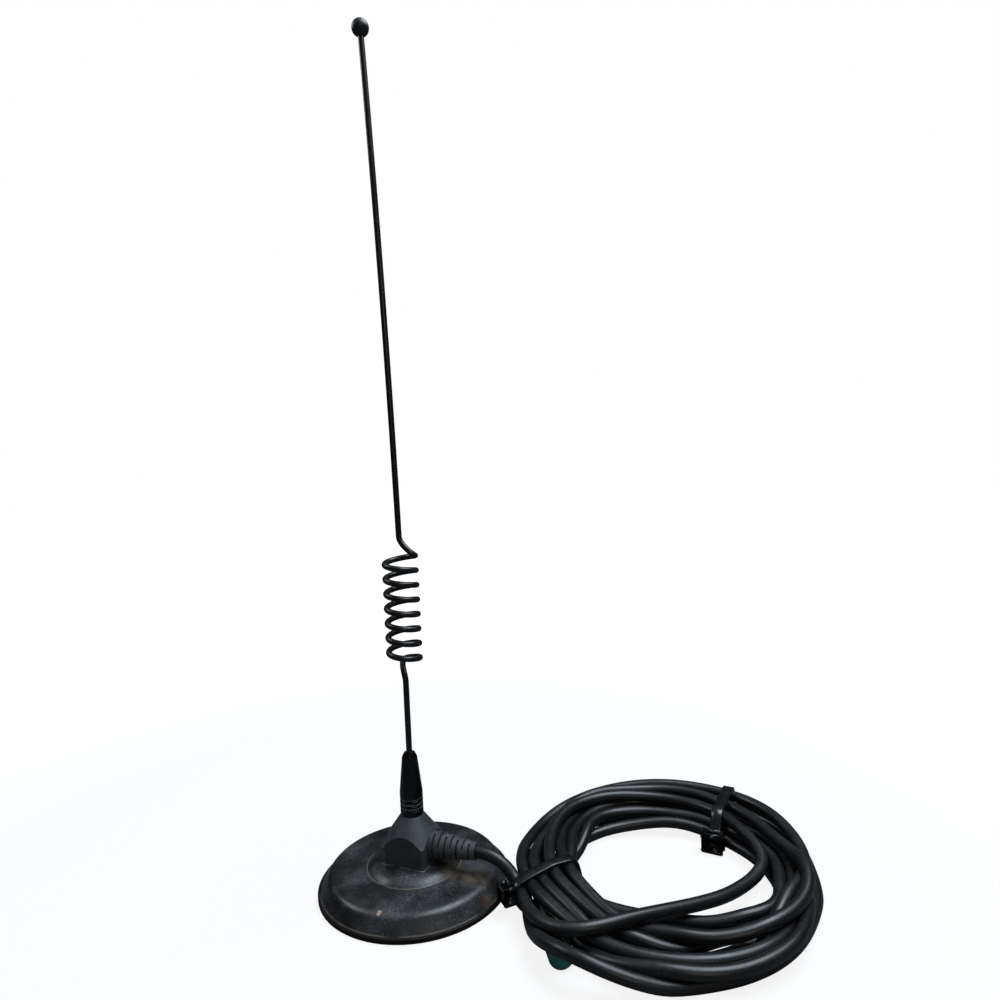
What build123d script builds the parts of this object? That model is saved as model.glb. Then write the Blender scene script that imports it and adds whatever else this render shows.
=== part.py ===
from build123d import *
import os
from math import cos, radians, sin, sqrt, tan

# Magnetic mount antenna, millimetres. The origin is the centre of the base on the surface it
# stands on, +Z runs up the mast and +X points where the cable leaves the housing.

os.makedirs("parts", exist_ok=True)

# Fits shared by the pieces
slip = 0.05  # round pieces that slide, turn or press into each other
free = 0.3  # clearance kept round what moves or lies loose

# Rubber boot under the base
base_r = 40.0
boot_floor_t = 0.8
boot_lip_t = 0.8
boot_lip_z = 2.4

# Pressed steel base shell
shell_t = 1.2
shell_r = base_r - boot_lip_t - slip
rim_z = 2.2
shoulder_in = 4.35
shoulder_r = shell_r - shoulder_in
shoulder_z = 8.5
shoulder_round = 4.0
boss_r = 19.6
boss_foot_z = 8.7
boss_top_r = 13.6
boss_top_z = 11.2

# Ring magnet and its pole plate
magnet_side_gap = 1.8
magnet_r = shoulder_r - magnet_side_gap
magnet_bore_r = 17.0
magnet_t = 5.0
magnet_chamfer = 0.6
plate_step = 2.0
plate_r = magnet_r - plate_step
plate_bore_r = 9.0

# Mounting stud and what is clamped on it
stud_r = 2.0
stud_chamfer = 0.5
stud_top_z = 37.3
hex_flats = 7.0
stud_head_h = 2.4
nut_h = 2.4
washer_r = 5.5
washer_t = 0.8
bush_shank_r = 3.2
bush_flange_r = 4.6
bush_flange_t = 0.8
tag_t = 0.4
tag_ring = 1.6
tag_w = 2.4
tag_reach = 7.2
tag_joint_r = 6.6
feed_tag_angle = 63.0
earth_tag_angle = -57.0

# Housing: a square foot under a cone
housing_half = 9.3
housing_corner = 1.6
housing_top_z = 29.8
housing_top_r = 4.8
cone_slope = 0.74
housing_wall = 1.9
cavity_top_z = 22.0
cavity_corner = 2.5

# Cable and the slotted strain relief
cable_r = 2.475
cable_z = 17.9
relief_len = 19.6
relief_base_r = 5.35
relief_tip_r = 3.3
relief_ring_t = 1.5
relief_neck_r = 3.1
relief_flange_r = 3.9
relief_flange_t = 1.7
slot_count = 7
slot_w = 0.8
slot_pitch = 2.55
bridge_w = 2.2
strip_x = 5.2
feed_wire_r = 0.45
feed_drop = 1.5
feed_bend_r = 0.9
braid_r = 0.6
braid_offset = 1.4
braid_drop = 2.4
braid_bend_r = 0.66
braid_start = 1.0

# Collar that carries the whip
collar_r = housing_top_r
collar_taper_z = 39.3
collar_neck_r = 3.2
collar_neck_z = 54.0
collar_top_r = 2.3
collar_top_z = 55.8
grip_count = 3
grip_z = 32.3
grip_pitch = 2.1
grip_r = 0.4
seal_r = 3.8
seal_t = 1.0
insert_r = 3.0
insert_top_z = 46.0
thread_end_z = 38.6
socket_z = 40.2

# Whip: one wire with its phasing coil
wire_r = 1.25
coil_r = 6.35
coil_pitch = 6.1
coil_turns = 7.25
coil_top_z = 138.4
coil_start_angle = 22.0
lower_bend_z = 85.5
upper_bend_z = 146.5
whip_top_z = 349.4
lean_angle = 201.6
lean_deg = 0.75
bow_r = 7300.0
ball_r = 3.5

# Bundle of cable turns, tied in two places
bundle_top_z = 12.0
bundle_rise = 2.5
bundle_span = 120.0
bundle_rise_angle = 68.0
bundle_round = 4.5
bundle_foot_round = 2.3
bundle_middle = (99.5, 32.5)
strap_w = 4.8
strap_t = 1.1
strap_round = 3.6
head_w = 8.2
head_len = 7.2
head_out = 5.4
head_round = 1.2
tail_len = 2.0
near_tie_ends = ((45.4, -8.0), (66.5, 14.4))
near_tie_top_z = 14.8
near_head_z = 6.5
far_tie_ends = ((121.0, 98.5), (116.4, 64.0))
far_tie_top_z = 13.4
far_head_z = 4.7

# Jack on the cable's far end, under its push-on cap
jack_start = (61.0, -10.0)
jack_angle = -58.7
stub_len = 4.0
sleeve_r = 3.3
sleeve_len = 10.0
jack_r = 4.0
jack_len = 15.0
jack_nose = 8.0
jack_relief = 0.6
jack_flats = 7.2
jack_bore_r = 2.9
jack_mouth = 7.0
contact_r = 0.9
cap_t = 0.6
cap_depth = 9.0
cap_end_t = 1.0
cap_round = 2.6


# Boot: a rubber cup that holds the shell's rim
with BuildPart() as base_boot:
    with BuildSketch(Plane.XZ):
        with BuildLine():
            Polyline(
                (0, 0),
                (base_r - boot_lip_t / 2, 0),
                (base_r, boot_lip_t / 2),
                (base_r, boot_lip_z - boot_lip_t / 2),
                (base_r - boot_lip_t / 2, boot_lip_z),
                (base_r - boot_lip_t, boot_lip_z),
                (base_r - boot_lip_t, boot_floor_t),
                (0, boot_floor_t),
                close=True,
            )
        make_face()
    revolve(axis=Axis.Z)
base_boot.part.label = "base_boot"

# Shell: one pressing, drawn whole in section, thinned to its wall and revolved
with BuildPart() as base_shell:
    with BuildSketch(Plane.XZ):
        with BuildLine():
            boss_flat = Line((0, boss_top_z), (boss_top_r, boss_top_z))
            boss_side = TangentArc(boss_flat @ 1, (boss_r, boss_foot_z), tangent=boss_flat % 1)
            Polyline(
                boss_side @ 1,
                (shoulder_r, shoulder_z),
                (shell_r, rim_z),
                (shell_r, boot_floor_t),
                (0, boot_floor_t),
            )
            mirror(about=Plane.YZ)
        outline = make_face()
        shoulders = [
            v for v in outline.vertices() if abs(abs(v.X) - shoulder_r) < slip and v.Y > rim_z
        ]
        fillet(shoulders, shoulder_round)
        offset(amount=-shell_t, mode=Mode.SUBTRACT)
        with Locations((0, boot_floor_t + shell_t / 2)):
            Rectangle(2 * (shell_r - shell_t), shell_t, mode=Mode.SUBTRACT)
        with Locations((-base_r, boss_top_z / 2)):
            Rectangle(2 * base_r, 2 * boss_top_z, mode=Mode.SUBTRACT)
    revolve(axis=Axis.Z)
    with BuildSketch(Plane.XY.offset(boss_top_z - 2 * shell_t)):
        Circle(bush_shank_r + slip)
    extrude(amount=3 * shell_t, mode=Mode.SUBTRACT)
base_shell.part.label = "base_shell"

# Magnet: a flat ferrite ring on the boot's floor
magnet_top_z = boot_floor_t + magnet_t
with BuildPart() as ring_magnet:
    with BuildSketch(Plane.XY.offset(boot_floor_t)):
        Circle(magnet_r)
        Circle(magnet_bore_r, mode=Mode.SUBTRACT)
    extrude(amount=magnet_t)
    chamfer(ring_magnet.edges().group_by(Axis.Z)[-1], magnet_chamfer)
ring_magnet.part.label = "ring_magnet"

# Pole plate between the magnet and the shell's flat top
plate_top_z = shoulder_z - shell_t
with BuildPart() as pole_plate:
    with BuildSketch(Plane.XY.offset(magnet_top_z)):
        Circle(plate_r)
        Circle(plate_bore_r, mode=Mode.SUBTRACT)
    extrude(amount=plate_top_z - magnet_top_z)
pole_plate.part.label = "pole_plate"

# Lower insulating washer, pressed against the inside of the boss
washer_z = boss_top_z - shell_t - washer_t
with BuildPart() as insulating_washer:
    with BuildSketch(Plane.XY.offset(washer_z)):
        Circle(washer_r)
        Circle(stud_r + slip, mode=Mode.SUBTRACT)
    extrude(amount=washer_t)
insulating_washer.part.label = "insulating_washer"

# Stud: hexagon head inside the base, plain shank up into the collar
with BuildPart() as mounting_stud:
    with BuildSketch(Plane.XY.offset(washer_z - stud_head_h)):
        RegularPolygon(hex_flats / 2, 6, major_radius=False)
    extrude(amount=stud_head_h)
    with BuildSketch(Plane.XY.offset(washer_z - stud_head_h / 2)):
        Circle(stud_r)
    extrude(amount=stud_top_z - washer_z + stud_head_h / 2)
    chamfer(mounting_stud.edges().sort_by(Axis.Z)[-1], stud_chamfer)
mounting_stud.part.label = "mounting_stud"

# Earth tag: a ring on the shell with a tongue for the braid
tag_z = boss_top_z
with BuildPart() as earth_tag:
    with BuildSketch(Plane.XY.offset(tag_z)):
        Circle(bush_shank_r + tag_ring)
        with Locations(Location((0, 0), earth_tag_angle)):
            with Locations((tag_reach / 2, 0)):
                Rectangle(tag_reach, tag_w)
        Circle(bush_shank_r + slip, mode=Mode.SUBTRACT)
    extrude(amount=tag_t)
earth_tag.part.label = "earth_tag"

# Shouldered bush that keeps the stud off the shell
bush_flange_z = tag_z + tag_t
with BuildPart() as stud_bush:
    with BuildSketch(Plane.XY.offset(boss_top_z - shell_t)):
        Circle(bush_shank_r)
    extrude(amount=bush_flange_z - boss_top_z + shell_t)
    with BuildSketch(Plane.XY.offset(bush_flange_z)):
        Circle(bush_flange_r)
    extrude(amount=bush_flange_t)
    Hole(stud_r + slip)
stud_bush.part.label = "stud_bush"

# Feed tag: a smaller ring on the bush with a tongue for the centre conductor
feed_tag_z = bush_flange_z + bush_flange_t
with BuildPart() as feed_tag:
    with BuildSketch(Plane.XY.offset(feed_tag_z)):
        Circle(stud_r + tag_ring)
        with Locations(Location((0, 0), feed_tag_angle)):
            with Locations((tag_reach / 2, 0)):
                Rectangle(tag_reach, tag_w)
        Circle(stud_r + slip, mode=Mode.SUBTRACT)
    extrude(amount=tag_t)
feed_tag.part.label = "feed_tag"

# Nut that clamps the stack on the shell
nut_z = feed_tag_z + tag_t
with BuildPart() as stud_nut:
    with BuildSketch(Plane.XY.offset(nut_z)):
        RegularPolygon(hex_flats / 2, 6, major_radius=False)
        Circle(stud_r + slip, mode=Mode.SUBTRACT)
    extrude(amount=nut_h)
stud_nut.part.label = "stud_nut"

# Housing: the square foot is cut by a cone, which leaves an arch on each side
cone_foot_r = housing_half * sqrt(2)
cone_foot_z = housing_top_z - (cone_foot_r - housing_top_r) / cone_slope
cable_plane = Plane(origin=(0, 0, cable_z), x_dir=(0, 1, 0), z_dir=(1, 0, 0))
with BuildPart() as housing:
    with BuildSketch(Plane.XY.offset(boss_top_z)):
        RectangleRounded(2 * housing_half, 2 * housing_half, housing_corner)
    extrude(amount=housing_top_z - boss_top_z)
    with BuildSketch(Plane.XZ):
        Polygon(
            (0, boss_top_z),
            (cone_foot_r, boss_top_z),
            (cone_foot_r, cone_foot_z),
            (housing_top_r, housing_top_z),
            (0, housing_top_z),
            align=None,
        )
    revolve(axis=Axis.Z, mode=Mode.INTERSECT)
    with BuildSketch(Plane.XY.offset(boss_top_z)):
        cavity = 2 * (housing_half - housing_wall)
        RectangleRounded(cavity, cavity, cavity_corner)
    extrude(amount=cavity_top_z - boss_top_z, mode=Mode.SUBTRACT)
    with BuildSketch(Plane.XY.offset(boss_top_z)):
        Circle(stud_r + slip)
    extrude(amount=housing_top_z - boss_top_z, mode=Mode.SUBTRACT)
    with BuildSketch(cable_plane):
        Circle(relief_neck_r + slip)
    extrude(amount=housing_half, mode=Mode.SUBTRACT)
housing.part.label = "housing"

# Strain relief: a tapered sleeve in the wall, slit into rings that bridges join two by two
relief_x = housing_half
relief_end_x = relief_x + relief_len
flange_x = relief_x - housing_wall - relief_flange_t
relief_axis = Axis((0, 0, cable_z), (1, 0, 0))
with BuildPart() as strain_relief:
    with BuildSketch(Plane(origin=(0, 0, cable_z), x_dir=(1, 0, 0), z_dir=(0, -1, 0))):
        Polygon(
            (flange_x, cable_r + slip),
            (flange_x, relief_flange_r),
            (flange_x + relief_flange_t, relief_flange_r),
            (flange_x + relief_flange_t, relief_neck_r),
            (relief_x, relief_neck_r),
            (relief_x, relief_base_r),
            (relief_x + relief_ring_t, relief_base_r),
            (relief_end_x, relief_tip_r),
            (relief_end_x, cable_r + slip),
            align=None,
        )
    revolve(axis=relief_axis)
    for i in range(slot_count):
        slot_x = relief_x + relief_ring_t + i * slot_pitch
        upright = i % 2 == 0
        with BuildSketch(cable_plane.offset(slot_x)):
            Circle(2 * relief_base_r)
            Rectangle(
                bridge_w if upright else 4 * relief_base_r,
                4 * relief_base_r if upright else bridge_w,
                mode=Mode.SUBTRACT,
            )
        extrude(amount=slot_w, mode=Mode.SUBTRACT)
strain_relief.part.label = "strain_relief"

# Cable inside the strain relief, cut square where it is stripped in the housing
with BuildPart() as cable_tail:
    with BuildSketch(cable_plane.offset(strip_x)):
        Circle(cable_r)
    extrude(amount=relief_end_x - strip_x)
cable_tail.part.label = "cable_tail"

# Centre conductor down to the feed tag, braid down to the earth tag
feed_x = tag_joint_r * cos(radians(feed_tag_angle))
feed_y = tag_joint_r * sin(radians(feed_tag_angle))
with BuildPart() as feed_wire:
    with BuildLine() as feed_path:
        FilletPolyline(
            (strip_x, 0, cable_z),
            (feed_x, 0, cable_z),
            (feed_x, feed_y, cable_z - feed_drop),
            (feed_x, feed_y, nut_z),
            radius=feed_bend_r,
        )
    with BuildSketch(Plane(origin=feed_path.line @ 0, z_dir=feed_path.line % 0)):
        Circle(feed_wire_r)
    sweep(path=feed_path.line)
feed_wire.part.label = "feed_wire"

braid_x = tag_joint_r * cos(radians(earth_tag_angle))
braid_y = tag_joint_r * sin(radians(earth_tag_angle))
with BuildPart() as braid_tail:
    with BuildLine() as braid_path:
        FilletPolyline(
            (strip_x, -braid_offset, cable_z),
            (strip_x - braid_start, -braid_offset, cable_z),
            (braid_x, braid_y, cable_z - braid_drop),
            (braid_x, braid_y, bush_flange_z),
            radius=braid_bend_r,
        )
    with BuildSketch(Plane(origin=braid_path.line @ 0, z_dir=braid_path.line % 0)):
        Circle(braid_r)
    sweep(path=braid_path.line)
braid_tail.part.label = "braid_tail"

# Seal: a flat ring in the collar's foot, lying on the housing
insert_z = housing_top_z + seal_t
with BuildPart() as collar_seal:
    with BuildSketch(Plane.XY.offset(housing_top_z)):
        Circle(seal_r)
        Circle(stud_r + free, mode=Mode.SUBTRACT)
    extrude(amount=seal_t)
collar_seal.part.label = "collar_seal"

# Collar: turned grip with three grooves, tapering to the whip
with BuildPart() as collar:
    with BuildSketch(Plane.XZ):
        Polygon(
            (seal_r + free, housing_top_z),
            (collar_r, housing_top_z),
            (collar_r, collar_taper_z),
            (collar_neck_r, collar_neck_z),
            (collar_top_r, collar_top_z),
            (wire_r + slip, collar_top_z - (collar_top_r - wire_r) / 2),
            (wire_r + slip, insert_top_z),
            (insert_r + slip, insert_top_z),
            (insert_r + slip, insert_z),
            (seal_r + free, insert_z),
            align=None,
        )
        for i in range(grip_count):
            with Locations((collar_r, grip_z + i * grip_pitch)):
                Circle(grip_r, mode=Mode.SUBTRACT)
    revolve(axis=Axis.Z)
collar.part.label = "collar"

# Insert: threaded for the stud below, socket for the whip above
with BuildPart() as collar_insert:
    with BuildSketch(Plane.XZ):
        Polygon(
            (stud_r + slip, insert_z),
            (insert_r, insert_z),
            (insert_r, insert_top_z),
            (wire_r + slip, insert_top_z),
            (wire_r + slip, socket_z),
            (0, socket_z),
            (0, thread_end_z),
            (stud_r + slip, thread_end_z),
            align=None,
        )
    revolve(axis=Axis.Z)
collar_insert.part.label = "collar_insert"


# Whip: straight foot, bend out, left-hand coil, bend in, then a long gentle bow
def bow_point(z):
    rise = z - upper_bend_z
    out = rise * tan(radians(lean_deg)) + rise * rise / (2 * bow_r)
    return (out * cos(radians(lean_angle)), out * sin(radians(lean_angle)), z)


coil_h = coil_turns * coil_pitch
coil_bottom_z = coil_top_z - coil_h
turned_down = coil_start_angle + 360 * coil_turns
winding = Helix(coil_pitch, coil_h, coil_r, lefthand=True).rotate(Axis.Z, turned_down)
winding = winding.moved(Location((0, 0, coil_bottom_z)))
whip_end = bow_point(whip_top_z)
end_slope = radians(lean_deg) + (whip_top_z - upper_bend_z) / bow_r
end_dir = Vector(
    sin(end_slope) * cos(radians(lean_angle)), sin(end_slope) * sin(radians(lean_angle)), cos(end_slope)
)
start_slope = radians(lean_deg)
start_dir = Vector(
    sin(start_slope) * cos(radians(lean_angle)),
    sin(start_slope) * sin(radians(lean_angle)),
    cos(start_slope),
)
with BuildPart() as whip:
    with BuildLine() as whip_path:
        foot = Line((0, 0, socket_z), (0, 0, lower_bend_z))
        add(winding)
        Spline(foot @ 1, winding @ 0, tangents=[Vector(0, 0, 1), winding % 0])
        Spline(winding @ 1, bow_point(upper_bend_z), tangents=[winding % 1, start_dir])
        ThreePointArc(
            bow_point(upper_bend_z), bow_point((upper_bend_z + whip_top_z) / 2), whip_end
        )
    with BuildSketch(Plane.XY.offset(socket_z)):
        Circle(wire_r)
    sweep(path=whip_path.wire())
whip.part.label = "whip"

# Ball pushed on the whip's end
with BuildPart() as tip_ball:
    with Locations(Vector(*whip_end) + end_dir * (wire_r / 2)):
        Sphere(ball_r)
    with BuildSketch(Plane(origin=whip_end, z_dir=-end_dir)):
        Circle(wire_r + slip)
    extrude(amount=2 * ball_r, mode=Mode.SUBTRACT)
tip_ball.part.label = "tip_ball"

# Loose lead: from the strain relief under the near tie, over the bundle and across its opening
lead_route = [
    (relief_end_x, 0.0, cable_z),
    (37.8, -0.2, 16.9),
    (46.6, -3.6, 10.9),
    (53.8, -12.2, 9.9),
    (62.4, -22.6, 11.4),
    (75.8, -26.4, 13.2),
    (88.7, -21.4, 13.0),
    (102.0, -5.4, 10.6),
    (116.5, 13.5, 8.0),
    (128.6, 31.2, 6.6),
    (138.6, 49.0, 6.4),
]


def lead_radii(route):
    radii = []
    for before, at, after in zip(route, route[1:], route[2:]):
        run_in = Vector(*at) - Vector(*before)
        run_out = Vector(*after) - Vector(*at)
        half_turn = radians(run_in.get_angle(run_out) / 2)
        radii.append(0.45 * min(run_in.length, run_out.length) / tan(half_turn))
    return radii


lead_bends = lead_radii(lead_route)
print("lead bend radii", [round(r, 1) for r in lead_bends])
with BuildLine() as lead_path:
    FilletPolyline(*lead_route, radius=lead_bends)
lead_plane = Plane(origin=lead_path.line @ 0, z_dir=lead_path.line % 0)
with BuildPart() as cable_lead:
    with BuildSketch(lead_plane):
        Circle(cable_r)
    sweep(path=lead_path.line)
cable_lead.part.label = "cable_lead"
lead_len = lead_path.wire().length
print("lead length", round(lead_len, 1), "volume over section times length",
      round(cable_lead.part.volume / (Circle(cable_r, mode=Mode.PRIVATE).area * lead_len), 4))

with BuildPart() as lead_channel:
    with BuildSketch(lead_plane):
        Circle(cable_r + free)
    sweep(path=lead_path.line)


# A tie stands across the bundle, on the plane through its outer and inner ends
def tie_plane(ends, top_z):
    (outer_x, outer_y), (inner_x, inner_y) = ends
    span = Vector(outer_x - inner_x, outer_y - inner_y)
    middle = Vector((outer_x + inner_x) / 2, (outer_y + inner_y) / 2, (strap_t + top_z) / 2)
    return Plane(origin=middle, x_dir=span, z_dir=(span.Y, -span.X, 0)), span.length


def cable_tie(ends, top_z, head_side, head_z):
    plane, width = tie_plane(ends, top_z)
    height = top_z - strap_t
    head_x = head_side * (width / 2 + strap_t + head_out / 2)
    head_y = head_z - (strap_t + top_z) / 2
    with BuildPart() as tie:
        with BuildSketch(plane):
            RectangleRounded(width + 2 * strap_t, height + 2 * strap_t, strap_round + strap_t)
            RectangleRounded(width, height, strap_round, mode=Mode.SUBTRACT)
        extrude(amount=strap_w / 2, both=True)
        with BuildSketch(plane):
            with Locations((head_x, head_y)):
                RectangleRounded(head_out, head_len, head_round)
        extrude(amount=head_w / 2, both=True)
        with BuildSketch(plane):
            with Locations((head_x, head_y + head_len / 2)):
                Rectangle(strap_t, tail_len)
        extrude(amount=strap_w / 2, both=True)
    return tie.part


near_tie = cable_tie(near_tie_ends, near_tie_top_z, 1, near_head_z)
near_tie.label = "near_tie"
far_tie = cable_tie(far_tie_ends, far_tie_top_z, -1, far_head_z)
far_tie.label = "far_tie"

# Jack pieces are placed along their common axis, which lies on the ground under the bundle
cap_r = jack_r + slip + cap_t
jack_plane = Plane(
    origin=(jack_start[0], jack_start[1], cap_r),
    z_dir=(cos(radians(jack_angle)), sin(radians(jack_angle)), 0),
    x_dir=(0, 0, 1),
)
jack_x = sleeve_len
jack_end = sleeve_len + jack_len
cap_start = jack_end - cap_depth

# Bundle: the outer shape of all turns, seated between the ties and clear of lead and jack
bundle_outer = [
    (42.5, 12), (38.5, 35), (45, 61), (66, 86), (95, 97.5), (125, 94),
    (150, 70), (158, 34), (148, -4), (119, -31), (86, -35), (58, -18),
]
bundle_inner = [
    (64.5, 14), (61.5, 38), (71, 58), (92, 67.5), (113, 67.5), (132, 54),
    (142, 27), (128, 4), (104, -1.5), (80, 3),
]
lean_plane = Plane(
    origin=(bundle_middle[0], bundle_middle[1], bundle_top_z),
    z_dir=Vector(
        -bundle_rise * cos(radians(bundle_rise_angle)),
        -bundle_rise * sin(radians(bundle_rise_angle)),
        bundle_span,
    ),
)
with BuildPart() as cable_coil:
    with BuildSketch():
        with BuildLine():
            Spline(*bundle_outer, periodic=True)
        make_face()
        with BuildLine():
            Spline(*bundle_inner, periodic=True)
        make_face(mode=Mode.SUBTRACT)
    extrude(amount=2 * bundle_top_z)
    split(bisect_by=lean_plane, keep=Keep.BOTTOM)
    fillet(cable_coil.faces().sort_by(Axis.Z)[-1].edges(), bundle_round)
    fillet(cable_coil.faces().sort_by(Axis.Z)[0].edges(), bundle_foot_round)
    for ends, top_z in ((near_tie_ends, near_tie_top_z), (far_tie_ends, far_tie_top_z)):
        across, across_w = tie_plane(ends, top_z)
        with BuildSketch(across):
            Rectangle(2 * across_w, 4 * bundle_top_z)
            RectangleRounded(
                across_w - 2 * slip, top_z - strap_t - 2 * slip, strap_round, mode=Mode.SUBTRACT
            )
        extrude(amount=strap_w / 2 + free, both=True, mode=Mode.SUBTRACT)
    add(lead_channel.part, mode=Mode.SUBTRACT)
    with BuildSketch(jack_plane.offset(-stub_len)):
        Circle(cap_r + free)
    extrude(amount=stub_len + jack_end + cap_depth + cap_end_t + cap_r, mode=Mode.SUBTRACT)
cable_coil.part.label = "cable_coil"

# Cable end: comes out of the bundle into the crimp sleeve
with BuildPart() as cable_end:
    with BuildSketch(jack_plane.offset(-stub_len)):
        Circle(cable_r)
    extrude(amount=stub_len + sleeve_len / 3)
cable_end.part.label = "cable_end"

# Crimp sleeve over cable and jack tail
with BuildPart() as crimp_sleeve:
    with BuildSketch(jack_plane):
        Circle(sleeve_r)
        Circle(cable_r + slip, mode=Mode.SUBTRACT)
    extrude(amount=sleeve_len)
crimp_sleeve.part.label = "crimp_sleeve"

# Jack body: tail in the sleeve, flatted middle, threaded nose with an open mouth
with BuildPart() as jack_body:
    with BuildSketch(jack_plane.offset(sleeve_len / 2)):
        Circle(cable_r)
    extrude(amount=sleeve_len / 2)
    with BuildSketch(jack_plane.offset(jack_x)):
        Circle(jack_r)
        Rectangle(jack_flats, 2 * jack_r, mode=Mode.INTERSECT)
    extrude(amount=jack_len - jack_nose - jack_relief)
    with BuildSketch(jack_plane.offset(jack_end - jack_nose - jack_relief)):
        Circle(jack_flats / 2)
    extrude(amount=jack_relief)
    with BuildSketch(jack_plane.offset(jack_end - jack_nose)):
        Circle(jack_r)
    extrude(amount=jack_nose)
    with BuildSketch(jack_plane.offset(jack_end - jack_mouth)):
        Circle(jack_bore_r)
    extrude(amount=jack_mouth, mode=Mode.SUBTRACT)
    with BuildSketch(jack_plane.offset(jack_end - jack_mouth - contact_r)):
        Circle(contact_r + slip)
    extrude(amount=contact_r, mode=Mode.SUBTRACT)
jack_body.part.label = "jack_body"

# Insulator at the bottom of the mouth
with BuildPart() as jack_insulator:
    with BuildSketch(jack_plane.offset(jack_end - jack_mouth)):
        Circle(jack_bore_r - slip)
        Circle(contact_r + slip, mode=Mode.SUBTRACT)
    extrude(amount=jack_mouth / 3)
jack_insulator.part.label = "jack_insulator"

# Socket contact, slit across its mouth
with BuildPart() as socket_contact:
    with BuildSketch(jack_plane.offset(jack_end - jack_mouth - contact_r)):
        Circle(contact_r)
    extrude(amount=jack_mouth)
    with BuildSketch(jack_plane.offset(jack_end - jack_mouth / 2)):
        Circle(contact_r / 2)
        Rectangle(3 * contact_r, contact_r / 4)
    extrude(amount=jack_mouth, mode=Mode.SUBTRACT)
socket_contact.part.label = "socket_contact"

# Cap: a soft cup with a domed end, pushed over the threaded nose
with BuildPart() as jack_cap:
    with BuildSketch(jack_plane.offset(cap_start)):
        Circle(cap_r)
    extrude(amount=cap_depth + cap_end_t)
    cap_tip = jack_cap.faces().filter_by(Plane(origin=(0, 0, 0), z_dir=jack_plane.z_dir))
    fillet(cap_tip.sort_by(Axis((0, 0, 0), jack_plane.z_dir))[-1].edges(), cap_round)
    with BuildSketch(jack_plane.offset(cap_start)):
        Circle(jack_r + slip)
    extrude(amount=cap_depth, mode=Mode.SUBTRACT)
jack_cap.part.label = "jack_cap"

for piece in (
    base_boot, base_shell, ring_magnet, pole_plate, insulating_washer, mounting_stud, earth_tag,
    stud_bush, feed_tag, stud_nut, housing, strain_relief, cable_tail, feed_wire, braid_tail,
    collar_seal, collar, collar_insert, whip, tip_ball, cable_lead, cable_coil, cable_end,
    crimp_sleeve, jack_body, jack_insulator, socket_contact, jack_cap,
):
    export_step(piece.part, f"parts/{piece.part.label}.step")
for tie in (near_tie, far_tie):
    export_step(tie, f"parts/{tie.label}.step")
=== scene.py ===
"""Magnetic mount antenna: the looks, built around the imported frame.

Everything is in metres in the frame's own axes: +Z up the mast, +X where the cable leaves the
housing. Sizes below are written in millimetres and multiplied by MM where a mesh is made.
"""

import sys
import logging
import math
from dataclasses import dataclass
from enum import Enum

import bmesh
import bpy
import numpy as np
from mathutils import Matrix, Vector


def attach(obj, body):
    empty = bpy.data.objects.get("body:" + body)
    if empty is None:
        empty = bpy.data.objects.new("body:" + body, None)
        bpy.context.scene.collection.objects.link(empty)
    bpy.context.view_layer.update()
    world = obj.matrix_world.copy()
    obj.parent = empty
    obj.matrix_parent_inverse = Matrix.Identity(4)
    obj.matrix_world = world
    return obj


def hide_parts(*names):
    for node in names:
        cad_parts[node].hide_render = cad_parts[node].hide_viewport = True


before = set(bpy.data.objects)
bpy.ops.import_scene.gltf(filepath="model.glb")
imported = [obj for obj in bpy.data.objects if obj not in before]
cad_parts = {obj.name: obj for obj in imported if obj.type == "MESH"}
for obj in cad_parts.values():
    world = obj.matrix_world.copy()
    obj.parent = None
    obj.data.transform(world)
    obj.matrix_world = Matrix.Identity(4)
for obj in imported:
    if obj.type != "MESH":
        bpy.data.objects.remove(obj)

MM = 0.001
CABLE_R = 2.475
STRAP_W = 4.8
STRAP_T = 1.1
EYE = (146.2, -253.6, 174.7)  # where the camera stands

Socket = bpy.types.NodeSocket
Tree = bpy.types.NodeTree
Piece = bpy.types.Object
Triple = tuple[float, float, float]

log = logging.getLogger("antenna")


class Body(Enum):
    """Bodies of the frame that this script's pieces ride on."""

    ROOT = "root"
    MAST = "mast"


def unit(v: np.ndarray) -> np.ndarray:
    """Vectors scaled to length one along their last axis."""
    return v / np.maximum(np.linalg.norm(v, axis=-1, keepdims=True), 1e-9)


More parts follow.
